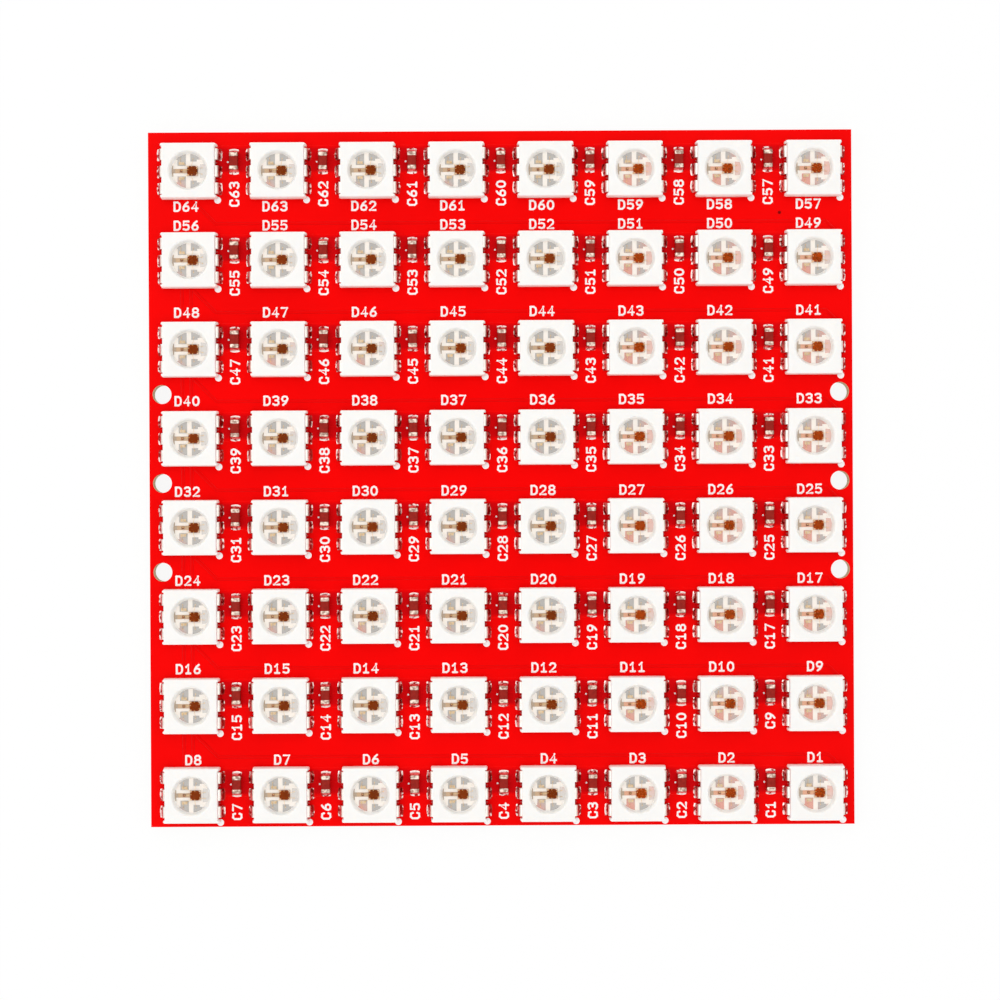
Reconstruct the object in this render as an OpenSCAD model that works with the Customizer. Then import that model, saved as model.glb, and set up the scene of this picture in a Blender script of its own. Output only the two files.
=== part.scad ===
// RGB LED matrix module: a red circuit board with a square grid of surface-mount RGB LED packages,
// a decoupling capacitor between each pair of neighbours in a row, and mounting holes along two edges.
// X runs to the right of the LED face, Y to its top and Z out of it, in millimetres.
// The origin is the centre of the board's back face.

/* [LED grid] */
// LEDs in each row
led_columns = 8; // [2:1:12]
// Rows of LEDs
led_rows = 8; // [2:1:8]
// Distance between neighbouring LEDs, in a row and between rows
led_pitch = 8; // [7.2:0.1:12]

/* [Circuit board] */
// Thickness of the laminate
board_t = 1.6; // [0.8:0.1:2.4]
// Left edge of the board to the first column of LED bodies
margin_left = 1.2; // [0.6:0.1:8]
// Right edge of the board to the last column of LED bodies
margin_right = 1; // [0.6:0.1:8]
// Top edge of the board to the first row of LED bodies
margin_top = 1.07; // [0.3:0.01:8]
// Bottom edge of the board to the last row of LED bodies
margin_bottom = 0.43; // [0.3:0.01:8]
// Diameter of the mounting holes
mount_hole_d = 1.7; // [1:0.1:2.4]
// Laminate left between a mounting hole and the side edge of the board
mount_hole_land = 0.31; // [0.2:0.01:3]
// Mounting holes along each side edge, one in each gap between rows around the middle
mount_holes_per_side = 3; // [1:2:3]

/* [Wire pads on the back] */
// Pads in each group: supply, ground and data
wire_pads = 3; // [2:1:5]
// Length of a pad, along X
wire_pad_l = 3; // [1.5:0.1:5]
// Width of a pad, along Y
wire_pad_w = 2; // [1:0.1:2.4]
// Distance between neighbouring pads
wire_pad_pitch = 3; // [2.6:0.1:6]
// Board edge to the nearest pad
wire_pad_inset = 2.5; // [2.4:0.1:8]
// Thickness of a tinned pad, which lies flush in the back face
wire_pad_t = 0.07; // [0.03:0.01:0.2]

/* [LED housing] */
// Body length along X, between the two sides that carry leads
housing_x = 5.1; // [4.8:0.05:5.5]
// Body width along Y
housing_y = 5; // [4.8:0.05:5.5]
// Height from the soles of the leads to the top
housing_h = 1.6; // [1.5:0.05:2.5]
// Gap under the body
housing_standoff = 0.05; // [0.02:0.01:0.15]
// How far each side leans in from its foot to its top
housing_draft = 0.07; // [0.01:0.01:0.15]
// Diameter of the reflector cup at its rim
cup_rim_d = 3.6; // [3.3:0.05:4.2]
// Diameter of the reflector cup at its floor
cup_floor_d = 3.1; // [3:0.05:3.3]
// Depth of the reflector cup
cup_depth = 0.8; // [0.5:0.05:0.85]
// Clear resin's surface below the rim
resin_drop = 0.05; // [0.01:0.01:0.15]

/* [Lead frame] */
// Thickness of the lead frame's strip
lead_t = 0.2; // [0.1:0.01:0.25]
// Width of a lead where it leaves the body
lead_w = 1; // [0.7:0.05:1.15]
// Distance between neighbouring leads on one side
lead_pitch = 1.53; // [1.45:0.01:1.65]
// Outside radius of the bend where a lead turns down
lead_bend_r = 0.3; // [0.2:0.01:0.35]
// How far a lead stands proud of the body
lead_proud = 0.1; // [0.02:0.01:0.3]
// Free space beside a lead in its pocket
lead_slack = 0.18; // [0.08:0.01:0.24]
// Height of the teeth between neighbouring leads, from the soles of the leads
tooth_h = 0.5; // [0.35:0.05:1.2]
// Length of the foot that folds in under the body
foot_l = 1; // [0.6:0.05:1.1]
// Free space between a foot and the body above it
foot_gap = 0.03; // [0.01:0.01:0.06]
// Middle of the plastic web between the left and right pads
web_x = -0.05; // [-0.1:0.01:0]
// Width of that web
web_w = 0.42; // [0.3:0.01:0.5]
// Width of the two pads that carry the green and blue emitters
emitter_pad_w = 0.74; // [0.6:0.01:0.8]
// Centre line to the inner edge of those two pads
emitter_pad_edge = 0.48; // [0.4:0.01:0.6]
// Length of the two bond pads opposite them
bond_pad_l = 0.56; // [0.3:0.01:0.8]
// Centre line to the inner edge of those bond pads
bond_pad_edge = 0.86; // [0.75:0.01:0.95]
// Width of the middle bond pad on the right
middle_pad_w = 1.22; // [0.8:0.02:1.3]
// Width of the neck between the middle left lead and the chip paddle
neck_w = 0.39; // [0.25:0.01:0.45]
// Centre of the cup to the inner end of the middle left lead
neck_start = 1.39; // [1.3:0.01:1.45]
// Middle of the chip paddle
paddle_x = 0.34; // [0.3:0.01:0.4]
// Border of the paddle around the driver chip
paddle_border = 0.03; // [0.02:0.01:0.06]
// Plastic between the paddle and the middle bond pad
paddle_gap = 0.17; // [0.1:0.01:0.3]

/* [Chips] */
// Driver chip, along X
driver_x = 0.93; // [0.7:0.01:1]
// Driver chip, along Y
driver_y = 0.86; // [0.6:0.01:0.9]
// Height of the driver chip
driver_h = 0.2; // [0.1:0.01:0.3]
// Side of the square red emitter
red_side = 0.22; // [0.15:0.01:0.24]
// Place of the red emitter on the neck
red_x = -0.67; // [-0.8:0.01:-0.5]
// Green and blue emitters, along X
emitter_x = 0.5; // [0.3:0.01:0.55]
// Green and blue emitters, along Y
emitter_y = 0.27; // [0.2:0.01:0.35]
// Emitter to the inner edge of its pad
emitter_inset = 0.05; // [0.02:0.01:0.1]
// Height of the three emitters
emitter_h = 0.12; // [0.08:0.01:0.2]

/* [Capacitor] */
// Length, along Y
cap_l = 1.6; // [1:0.05:2]
// Width, along X
cap_w = 0.8; // [0.5:0.05:1]
// Height above the board
cap_h = 0.8; // [0.4:0.05:1]
// Length of each end terminal
cap_band = 0.4; // [0.2:0.05:0.45]
// Thickness of the terminals' metal
cap_plate_t = 0.03; // [0.02:0.01:0.06]
// Height of the capacitor's middle above the middle of its row
cap_up = 0.91; // [0:0.01:1.5]

/* [Solder] */
// How far solder spreads to each side of a lead or a terminal
solder_side = 0.05; // [0.02:0.01:0.07]
// Reach of the solder in front of a lead
lead_toe = 0.3; // [0.2:0.01:0.4]
// Height of the solder on the face of a lead
lead_climb = 0.4; // [0.25:0.01:0.48]
// Reach of the solder in front of a capacitor
cap_toe = 0.36; // [0.2:0.01:0.5]
// Height of the solder on the end of a capacitor
cap_climb = 0.5; // [0.3:0.01:0.6]
// Thickness of each fillet at its toe
solder_lip = 0.02; // [0.01:0.01:0.04]
// Radius of each fillet's hollow, as a share of its chord
fillet_hollow = 1; // [0.9:0.05:2]

/* [Hidden] */
$fn = 48;
// Cuts run this far past the faces that they open
cut = 0.5;

board_x = (led_columns - 1) * led_pitch + housing_x + margin_left + margin_right;
board_y = (led_rows - 1) * led_pitch + housing_y + margin_top + margin_bottom;
first_led_x = -board_x / 2 + margin_left + housing_x / 2;
first_led_y = board_y / 2 - margin_top - housing_y / 2;
grid_middle_y = first_led_y - (led_rows - 1) * led_pitch / 2;
mount_hole_x = board_x / 2 - mount_hole_land - mount_hole_d / 2;

plate_top = housing_h - cup_depth;
lead_face = housing_x / 2 + lead_proud;
// The bend of a lead starts here, and so does the open pocket around it
lead_exit = lead_face - lead_bend_r;
foot_end = lead_face - foot_l;
lead_places = [-lead_pitch, 0, lead_pitch];
web_left = web_x - web_w / 2;
web_right = web_x + web_w / 2;
paddle_half_x = driver_x / 2 + paddle_border;
paddle_half_y = driver_y / 2 + paddle_border;
middle_pad_left = paddle_x + paddle_half_x + paddle_gap;
emitter_mid_x = web_left - emitter_pad_w / 2;
emitter_mid_y = emitter_pad_edge + emitter_inset + emitter_y / 2;

function row_names(name) = [for (row = [1:led_rows]) str(name, "_row_", row)];

function led_x(column) = first_led_x + column * led_pitch;
function led_y(row) = first_led_y - (row - 1) * led_pitch;

// Puts a package or a chip at every LED of one row, on the soles of its leads
module at_leds(row) {
    for (column = [0:led_columns - 1])
        translate([led_x(column), led_y(row), board_t]) children();
}

module at_all_leds() {
    for (row = [1:led_rows]) at_leds(row) children();
}

// Puts a part midway between each pair of neighbouring LEDs of one row
module at_capacitors(row) {
    for (column = [0:led_columns - 2])
        translate([led_x(column) + led_pitch / 2, led_y(row) + cap_up, board_t]) children();
}

// Rectangle in the XY plane from its corners
module span(x0, x1, y0, y1) {
    translate([x0, y0]) square([x1 - x0, y1 - y0]);
}

// Circuit board

module wire_pad_places(side) {
    for (i = [0:wire_pads - 1])
        translate([
            side * (board_x / 2 - wire_pad_inset - wire_pad_l / 2),
            -side * (board_y / 2 - wire_pad_inset - wire_pad_w / 2 - i * wire_pad_pitch),
            0
        ]) children();
}

// Rectangle with two round ends, as the pads are etched
module wire_pad(depth) {
    linear_extrude(depth) {
        square([wire_pad_l - wire_pad_w, wire_pad_w], center = true);
        for (end = [-1, 1]) translate([end * (wire_pad_l - wire_pad_w) / 2, 0]) circle(d = wire_pad_w);
    }
}

module circuit_board() {
    color("red") difference() {
        translate([-board_x / 2, -board_y / 2, 0]) cube([board_x, board_y, board_t]);
        for (side = [-1, 1], i = [0:mount_holes_per_side - 1])
            translate([
                side * mount_hole_x,
                grid_middle_y + (i - (mount_holes_per_side - 1) / 2) * led_pitch,
                -cut
            ]) cylinder(d = mount_hole_d, h = board_t + 2 * cut);
        for (side = [-1, 1]) wire_pad_places(side) wire_pad(wire_pad_t);
    }
}

module input_wire_pads() {
    color("silver") wire_pad_places(1) wire_pad(wire_pad_t);
}

module output_wire_pads() {
    color("silver") wire_pad_places(-1) wire_pad(wire_pad_t);
}

// LED package

// Flat outlines of the six leads inside the body, each from its pad in the cup to the side wall
module corner_lead_left(up) {
    mirror([0, up > 0 ? 0 : 1]) {
        span(-lead_exit, web_left, lead_pitch - lead_w / 2, lead_pitch + lead_w / 2);
        span(web_left - emitter_pad_w, web_left, emitter_pad_edge, lead_pitch);
    }
}

module corner_lead_right(up) {
    mirror([0, up > 0 ? 0 : 1]) {
        span(web_right, lead_exit, lead_pitch - lead_w / 2, lead_pitch + lead_w / 2);
        span(web_right, web_right + bond_pad_l, bond_pad_edge, lead_pitch);
    }
}

module middle_lead_left() {
    span(-lead_exit, -neck_start, -lead_w / 2, lead_w / 2);
    span(-neck_start, paddle_x - paddle_half_x, -neck_w / 2, neck_w / 2);
    span(paddle_x - paddle_half_x, paddle_x + paddle_half_x, -paddle_half_y, paddle_half_y);
}

module middle_lead_right() {
    polygon([
        [middle_pad_left, -middle_pad_w / 2],
        [lead_exit, -lead_w / 2],
        [lead_exit, lead_w / 2],
        [middle_pad_left, middle_pad_w / 2]
    ]);
}

module lead_plates() {
    translate([0, 0, plate_top - lead_t]) {
        linear_extrude(lead_t) corner_lead_left(1);
        linear_extrude(lead_t) middle_lead_left();
        linear_extrude(lead_t) corner_lead_left(-1);
        linear_extrude(lead_t) corner_lead_right(1);
        linear_extrude(lead_t) middle_lead_right();
        linear_extrude(lead_t) corner_lead_right(-1);
    }
}

// Lead outside the body: over the edge, down the side and back in under the body
module lead_hook() {
    intersection() {
        span(lead_exit, lead_face, plate_top - lead_bend_r, plate_top);
        difference() {
            translate([lead_exit, plate_top - lead_bend_r]) circle(lead_bend_r);
            span(0, lead_face - lead_t, 0, plate_top - lead_t);
        }
    }
    span(lead_face - lead_t, lead_face, 0, plate_top - lead_bend_r);
    span(foot_end, lead_face - lead_t, 0, lead_t);
}

// Extrudes an XZ profile along Y, centred on y
module along_y(width) {
    rotate([90, 0, 0]) linear_extrude(width, center = true) children();
}

// Repeats a part that is drawn for a lead on the +X side at all six leads
module at_leads() {
    for (turned = [0, 1], y = lead_places)
        mirror([turned, 0, 0]) translate([0, y, 0]) children();
}

module lead_frame() {
    lead_plates();
    at_leads() along_y(lead_w) lead_hook();
}

// Upright section of the body between two sides, wider at its foot than at its top
module drafted_section(width) {
    polygon([
        [-width / 2, housing_standoff],
        [width / 2, housing_standoff],
        [width / 2 - housing_draft, housing_h],
        [-width / 2 + housing_draft, housing_h]
    ]);
}

// Step along the underside that leaves room for the feet of one side
module foot_recess() {
    along_y(housing_y + 2 * cut) span(foot_end - foot_gap, lead_face, 0, lead_t + foot_gap);
}

// Open slot in the side of the body around a number of neighbouring leads, from one height to the top
module lead_pocket(leads, bottom) {
    along_y((leads - 1) * lead_pitch + lead_w + 2 * lead_slack)
        span(lead_exit, lead_face, bottom, housing_h + cut);
}

// Space of the reflector cup, carried on past the rim at the same slope
module cup() {
    wall_slope = (cup_rim_d - cup_floor_d) / cup_depth;
    height = cup_depth + cut;
    translate([0, 0, plate_top])
        cylinder(d1 = cup_floor_d, d2 = cup_floor_d + wall_slope * height, h = height);
}

module led_housing() {
    difference() {
        intersection() {
            along_y(housing_y + 2 * cut) drafted_section(housing_x);
            rotate([0, 0, 90]) along_y(housing_x + 2 * cut) drafted_section(housing_y);
        }
        cup();
        lead_plates();
        at_leads() lead_pocket(1, 0);
        for (turned = [0, 1]) mirror([turned, 0, 0]) {
            lead_pocket(len(lead_places), tooth_h);
            foot_recess();
        }
    }
}

// Chips stand on the lead frame, at the floor of the cup
module chip(x, y, size) {
    translate([x - size[0] / 2, y - size[1] / 2, plate_top]) cube(size);
}

module driver_chip() {
    chip(paddle_x, 0, [driver_x, driver_y, driver_h]);
}

module red_emitter() {
    chip(red_x, 0, [red_side, red_side, emitter_h]);
}

module green_emitter() {
    chip(emitter_mid_x, emitter_mid_y, [emitter_x, emitter_y, emitter_h]);
}

module blue_emitter() {
    chip(emitter_mid_x, -emitter_mid_y, [emitter_x, emitter_y, emitter_h]);
}

module resin_fill() {
    difference() {
        intersection() {
            cup();
            cylinder(d = cup_rim_d + cut, h = housing_h - resin_drop);
        }
        driver_chip();
        red_emitter();
        green_emitter();
        blue_emitter();
    }
}

module led_housings(row) {
    color("white") at_leds(row) led_housing();
}

module lead_frames(row) {
    color("gainsboro") at_leds(row) lead_frame();
}

module clear_resin(row) {
    color("ivory", 0.3) at_leds(row) resin_fill();
}

module driver_chips() {
    color("saddlebrown") at_all_leds() driver_chip();
}

module red_emitters() {
    color("firebrick") at_all_leds() red_emitter();
}

module green_emitters() {
    color("darkkhaki") at_all_leds() green_emitter();
}

module blue_emitters() {
    color("tan") at_all_leds() blue_emitter();
}

// Capacitor

// Block of the capacitor's width and height around the middle of its length, less an inset all round
module cap_block(length, inset) {
    translate([-cap_w / 2 + inset, -length / 2, inset])
        cube([cap_w - 2 * inset, length, cap_h - 2 * inset]);
}

module capacitor_body() {
    cap_block(cap_l - 2 * cap_plate_t, cap_plate_t);
}

// Metal caps dipped over the two ends
module capacitor_terminal_pair() {
    difference() {
        for (end = [-1, 1]) translate([0, end * (cap_l - cap_band) / 2, 0]) cap_block(cap_band, 0);
        capacitor_body();
    }
}

module capacitor_bodies(row) {
    color("brown") at_capacitors(row) capacitor_body();
}

module capacitor_terminals(row) {
    color("lightgray") at_capacitors(row) capacitor_terminal_pair();
}

// Solder

// Section of solder that wets a wall at x = 0 and runs out along +X, with a hollow face
module fillet_section(reach, climb) {
    toe = [reach, solder_lip];
    crest = [0, climb];
    chord = crest - toe;
    hollow_r = fillet_hollow * norm(chord);
    rise = sqrt(pow(hollow_r, 2) - pow(norm(chord) / 2, 2));
    difference() {
        square([reach, climb + solder_lip]);
        translate((toe + crest) / 2 + rise * [chord[1], -chord[0]] / norm(chord)) circle(hollow_r);
    }
}

// Solder in front of a lead, up its face
module lead_joint() {
    along_y(lead_w + 2 * solder_side) translate([lead_face, 0]) fillet_section(lead_toe, lead_climb);
}

// Solder in front of one end of a capacitor, up its end face
module capacitor_joint() {
    rotate([0, 0, 90]) along_y(cap_w + 2 * solder_side)
        translate([cap_l / 2, 0]) fillet_section(cap_toe, cap_climb);
}

module solder_joints(row) {
    color("silver") {
        at_leds(row) at_leads() lead_joint();
        at_capacitors(row) for (end = [0, 1]) mirror([0, end, 0]) capacitor_joint();
    }
}

circuit_board();
input_wire_pads();
output_wire_pads();
driver_chips();
red_emitters();
green_emitters();
blue_emitters();
for (row = [1:led_rows]) {
    led_housings(row);
    lead_frames(row);
    clear_resin(row);
    capacitor_bodies(row);
    capacitor_terminals(row);
    solder_joints(row);
}
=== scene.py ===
import math
from collections import namedtuple

import bmesh
import bpy
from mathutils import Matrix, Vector


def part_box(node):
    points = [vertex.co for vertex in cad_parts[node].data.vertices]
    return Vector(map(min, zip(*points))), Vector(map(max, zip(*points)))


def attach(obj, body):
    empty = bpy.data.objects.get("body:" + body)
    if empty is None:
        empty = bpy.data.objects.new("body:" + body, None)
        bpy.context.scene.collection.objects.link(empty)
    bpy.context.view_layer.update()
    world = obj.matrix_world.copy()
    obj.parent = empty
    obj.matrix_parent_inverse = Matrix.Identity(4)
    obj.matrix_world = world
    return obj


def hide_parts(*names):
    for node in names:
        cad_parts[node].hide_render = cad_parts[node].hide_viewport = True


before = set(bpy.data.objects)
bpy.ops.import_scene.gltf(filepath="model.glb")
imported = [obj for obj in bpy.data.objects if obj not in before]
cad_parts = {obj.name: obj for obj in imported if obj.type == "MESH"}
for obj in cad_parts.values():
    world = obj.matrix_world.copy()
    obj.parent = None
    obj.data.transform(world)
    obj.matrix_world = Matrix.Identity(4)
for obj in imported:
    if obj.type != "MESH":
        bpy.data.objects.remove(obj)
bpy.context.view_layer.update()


# Circuit board: one glass-epoxy laminate under red solder mask, routed to its outline and drilled.
# The routed sides and the walls of the mounting holes show the bare laminate in its layers.

MM = 0.001
BOARD_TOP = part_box("circuit_board")[1].z
MASK_RED = (0.9, 0.0, 0.0, 1)
MASK_RED_THIN = (0.85, 0.0, 0.0, 1)
MASK_SHINE = 0.03
MASK_SHINE_AT_A_SLANT = 0.5
LAMINATE_PALE = (0.82, 0.7, 0.5, 1)
LAMINATE_DEEP = (0.66, 0.52, 0.33, 1)
LAMINATE_ROUGHER = 0.4
GLASS_WEAVE = 0.45 * MM
GLASS_WEAVE_DEPTH = 0.01 * MM
GLASS_LAYER = 0.2 * MM
# A face whose normal rises less than this is a cut side
CUT_SIDE_BELOW = 0.5
# How far the gloss of a finish drifts, and the depth of its grain as a share of the grain's size
GLOSS_SPREAD = 0.2
GRAIN_DEPTH = 0.1

# A finish in the making: its material, the node tree and shader of that, and the node of its tones
Finish = namedtuple("Finish", "material tree shader tones")


def node(tree, kind, inputs=None, **settings):
    """Adds a node with its settings, each input linked to a socket or set to a value."""
    made = tree.nodes.new(kind)
    for name, value in settings.items():
        setattr(made, name, value)
    for name, value in (inputs or {}).items():
        if isinstance(value, bpy.types.NodeSocket):
            tree.links.new(value, made.inputs[name])
        else:
            made.inputs[name].default_value = value
    return made


def math_node(tree, operation, first, second=0.0, third=0.0):
    """Result of one sum on sockets or numbers."""
    return node(tree, "ShaderNodeMath", {0: first, 1: second, 2: third}, operation=operation).outputs[0]


def ramp(tree, value, low, high, interpolation="LINEAR"):
    """Share that goes from 0 at one value to 1 at another."""
    spread = {"Value": value, "From Min": low, "From Max": high}
    return node(tree, "ShaderNodeMapRange", spread, interpolation_type=interpolation).outputs[0]


def blend_colours(tree, share, first, second):
    """Colour between two others, by a share from 0 to 1."""
    mixed = node(tree, "ShaderNodeMix", {0: share, 6: first, 7: second}, data_type="RGBA")
    return mixed.outputs[2]


def object_place(tree):
    """Where a point lies on the object."""
    return node(tree, "ShaderNodeTexCoord").outputs["Object"]


def axes(tree, vector):
    """X, Y and Z of a vector."""
    return node(tree, "ShaderNodeSeparateXYZ", {0: vector}).outputs


def empty_tree(name, kind, inputs, outputs):
    """New node tree with its named inputs and outputs, and the two nodes that hold them."""
    tree = bpy.data.node_groups.new(name, kind)
    for label, (socket_type, value) in inputs.items():
        socket = tree.interface.new_socket(label, in_out="INPUT", socket_type=socket_type)
        if value is not None:
            socket.default_value = value
    for label, socket_type in outputs.items():
        tree.interface.new_socket(label, in_out="OUTPUT", socket_type=socket_type)
    return tree, tree.nodes.new("NodeGroupInput"), tree.nodes.new("NodeGroupOutput")


def make_cloudy_grain():
    """Shader group: colour that drifts between two tones in soft clouds, and a fine grain."""
    tree, start, end = empty_tree(
        "cloudy_grain",
        "ShaderNodeTree",
        {
            "Light tone": ("NodeSocketColor", (0.9, 0.9, 0.9, 1)),
            "Dark tone": ("NodeSocketColor", (0.7, 0.7, 0.7, 1)),
            "Cloud size": ("NodeSocketFloat", 2 * MM),
            "Cloud level": ("NodeSocketFloat", 0.5),
            "Cloud edge": ("NodeSocketFloat", 0.3),
            "Grain size": ("NodeSocketFloat", 0.1 * MM),
        },
        {"Colour": "NodeSocketColor", "Grain": "NodeSocketFloat"},
    )
    place = object_place(tree)
    cloud_scale = math_node(tree, "DIVIDE", 1.0, start.outputs["Cloud size"])
    grain_scale = math_node(tree, "DIVIDE", 1.0, start.outputs["Grain size"])
    cloud = node(tree, "ShaderNodeTexNoise", {"Vector": place, "Scale": cloud_scale, "Detail": 3.0})
    grain = node(tree, "ShaderNodeTexNoise", {"Vector": place, "Scale": grain_scale, "Detail": 2.0})
    low = math_node(tree, "MULTIPLY_ADD", start.outputs["Cloud edge"], -0.5, start.outputs["Cloud level"])
    high = math_node(tree, "MULTIPLY_ADD", start.outputs["Cloud edge"], 0.5, start.outputs["Cloud level"])
    share = ramp(tree, cloud.outputs[0], low, high)
    tones = blend_colours(tree, share, start.outputs["Light tone"], start.outputs["Dark tone"])
    tree.links.new(tones, end.inputs["Colour"])
    tree.links.new(grain.outputs[0], end.inputs["Grain"])
    return tree


cloudy_grain = make_cloudy_grain()


def feed(finish, name, value):
    """Links a value to one input of a finish's shader."""
    finish.tree.links.new(value, finish.shader.inputs[name])


def start_finish(name, light, dark, cloud, grain, roughness, bump, metallic=0.0):
    """Finish with drifting tones, an uneven gloss and a finely grained surface."""
    material = bpy.data.materials.new(name)
    material.use_nodes = True
    tree = material.node_tree
    shader = tree.nodes["Principled BSDF"]
    shader.inputs["Metallic"].default_value = metallic
    tones = node(
        tree,
        "ShaderNodeGroup",
        {"Light tone": light, "Dark tone": dark, "Cloud size": cloud, "Grain size": grain},
        node_tree=cloudy_grain,
    )
    finish = Finish(material, tree, shader, tones)
    feed(finish, "Base Color", tones.outputs["Colour"])
    glossiest = roughness - GLOSS_SPREAD / 2
    gloss = math_node(tree, "MULTIPLY_ADD", tones.outputs["Grain"], GLOSS_SPREAD, glossiest)
    feed(finish, "Roughness", gloss)
    relief = node(
        tree,
        "ShaderNodeBump",
        {"Strength": bump, "Distance": GRAIN_DEPTH * grain, "Height": tones.outputs["Grain"]},
    )
    feed(finish, "Normal", relief.outputs[0])
    return finish


def wave(tree, along, period):
    """Even ripple from 0 to 1 along one coordinate."""
    turn = math_node(tree, "SINE", math_node(tree, "MULTIPLY", along, 2 * math.pi / period))
    return math_node(tree, "MULTIPLY_ADD", turn, 0.5, 0.5)


def make_solder_mask(name, light, dark):
    """Red mask over the weave of the glass, dull from above and glossier at a slant."""
    finish = start_finish(name, light, dark, cloud=9 * MM, grain=0.3 * MM, roughness=0.36, bump=0.1)
    tree = finish.tree
    place = axes(tree, object_place(tree))
    weave = math_node(tree, "ADD", wave(tree, place["X"], GLASS_WEAVE), wave(tree, place["Y"], GLASS_WEAVE))
    grain = finish.shader.inputs["Normal"].links[0].from_socket
    relief = node(
        tree,
        "ShaderNodeBump",
        {"Strength": 0.06, "Distance": GLASS_WEAVE_DEPTH, "Height": weave, "Normal": grain},
    )
    feed(finish, "Normal", relief.outputs[0])
    facing = node(tree, "ShaderNodeLayerWeight", {"Blend": 0.5}).outputs["Facing"]
    shine = math_node(tree, "MULTIPLY_ADD", facing, MASK_SHINE_AT_A_SLANT, MASK_SHINE)
    feed(finish, "Specular IOR Level", shine)
    return finish


def paint(finish, *nodes):
    """Gives CAD nodes their finish."""
    for name in nodes:
        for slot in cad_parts[name].material_slots:
            slot.material = finish.material


board_finish = make_solder_mask("red_mask_and_laminate", MASK_RED, MASK_RED_THIN)
tree = board_finish.tree
layers = wave(tree, axes(tree, object_place(tree))["Z"], GLASS_LAYER)
laminate = blend_colours(tree, layers, LAMINATE_PALE, LAMINATE_DEEP)
normal = axes(tree, node(tree, "ShaderNodeNewGeometry").outputs["True Normal"])
cut_side = math_node(tree, "LESS_THAN", math_node(tree, "ABSOLUTE", normal["Z"]), CUT_SIDE_BELOW)
colour = blend_colours(tree, cut_side, board_finish.tones.outputs["Colour"], laminate)
feed(board_finish, "Base Color", colour)
gloss = board_finish.shader.inputs["Roughness"].links[0].from_socket
feed(board_finish, "Roughness", math_node(tree, "MULTIPLY_ADD", cut_side, LAMINATE_ROUGHER, gloss))
paint(board_finish, "circuit_board")


# Wire pads: two groups of tinned copper pads on the back, for supply, ground and data in and out.
# The tin is levelled with hot air, so it lies in soft waves and has dulled a little.

TIN_BRIGHT = (0.83, 0.82, 0.79, 1)
TIN_DULL = (0.62, 0.6, 0.57, 1)

tinned_pads = start_finish(
    "levelled_tin", TIN_BRIGHT, TIN_DULL,
    cloud=0.9 * MM, grain=0.25 * MM, roughness=0.34, bump=0.5, metallic=1.0,
)
paint(tinned_pads, "input_wire_pads", "output_wire_pads")


# Copper under the mask: supply and ground areas round each capacitor, tracks between the LEDs and
# one plated hole that joins two layers. Etched foil, a little proud, seen as a deeper red. The areas
# round the capacitors are also painted darker for the shade between the LEDs, with soft ends like shade,
# and the hole is a dark disc of painted shade.

LED_COLUMNS = 8
LED_ROWS = 8
LED_PITCH = 8 * MM
LED_GRID_MIDDLE = Vector((0.1, -0.32, 0)) * MM
FIRST_LED = LED_GRID_MIDDLE + Vector((-(LED_COLUMNS - 1), LED_ROWS - 1, 0)) * LED_PITCH / 2
LAST_LED_X = FIRST_LED.x + (LED_COLUMNS - 1) * LED_PITCH
COOL_COLUMNS = 5
CAPACITOR_UP = 0.91 * MM
CAPACITOR_GRID_MIDDLE = LED_GRID_MIDDLE + Vector((0, CAPACITOR_UP, 0))
COPPER_HALF_X = 1.4 * MM
COPPER_HALF_Y = 1.3 * MM
COPPER_MIDDLE_Y = 0.16 * MM
COPPER_CORNER = 0.25 * MM
COPPER_RISE = 0.03 * MM
COPPER_SLOPE = 0.03 * MM
COPPER_GAP = 0.03 * MM
COPPER_AND_SHADE_FADE = 0.4 * MM
# Mask over the copper areas: deeper red for the copper and also painted shade between the LEDs
MASK_OVER_COPPER_AND_SHADE = (0.69, 0.0, 0.002, 1)
MASK_OVER_COPPER_AND_SHADE_THIN = (0.62, 0.0, 0.002, 1)
TRACK_WIDTH = 0.3 * MM
TRACK_RISE = 0.014 * MM
# Data track of a row: its run above the middle of the LEDs, and both ends of it in millimetres,
# across from the row's first or last LED and up from the run
TRACK_UP = 3.35 * MM
TRACK_START = ((0.4, 1.9), (2.3, 0))
TRACK_END = ((1.2, 0), (2.2, -1))
# Upright tracks: how far beside the middles of the first column they lie, and how far from each
# LED's middle they end, under its body
UPRIGHT_TRACKS = (-0.75 * MM, 0.05 * MM)
UPRIGHT_TRACK_END = 2.2 * MM
MASK_OVER_TRACK = (0.84, 0.0, 0.0, 1)
MASK_OVER_TRACK_THIN = (0.8, 0.0, 0.0, 1)
VIA_PLACE = Vector((25.15, 23.8, 0)) * MM
VIA_RING_RADIUS = 0.28 * MM
VIA_HOLE_RADIUS = 0.15 * MM
VIA_HOLE_RISE = 1.6 * TRACK_RISE
# Painted shade: the dark red of the disc that stands for the shade down the via's hole
VIA_PAINTED_SHADE = (0.2, 0.0, 0.0, 1)
# A round spot at a path's point is a little lower than the ridge, so that no two faces coincide
SPOT_LOWER = 0.96
# Height at which the edge of a disc starts to slope in, as a share of its rise
DISC_SHOULDER = 0.4


def new_piece(name, shape):
    """Object at the origin from a bmesh or from vertices, edges and faces."""
    mesh = bpy.data.meshes.new(name)
    if isinstance(shape, bmesh.types.BMesh):
        shape.to_mesh(mesh)
        shape.free()
    else:
        mesh.from_pydata(*shape)
    piece = bpy.data.objects.new(name, mesh)
    bpy.context.scene.collection.objects.link(piece)
    return piece


def grow(piece, tree, **values):
    """Runs a node tree on a piece with its named inputs set, and keeps the result as a plain mesh."""
    modifier = piece.modifiers.new(tree.name, "NODES")
    modifier.node_group = tree
    for socket in tree.interface.items_tree:
        if socket.in_out == "INPUT" and socket.name in values:
            modifier[socket.identifier] = values[socket.name]
    scene_state = bpy.context.evaluated_depsgraph_get()
    grown = bpy.data.meshes.new_from_object(
        piece.evaluated_get(scene_state), preserve_all_data_layers=True, depsgraph=scene_state
    )
    piece.modifiers.clear()
    piece.data = grown


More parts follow.
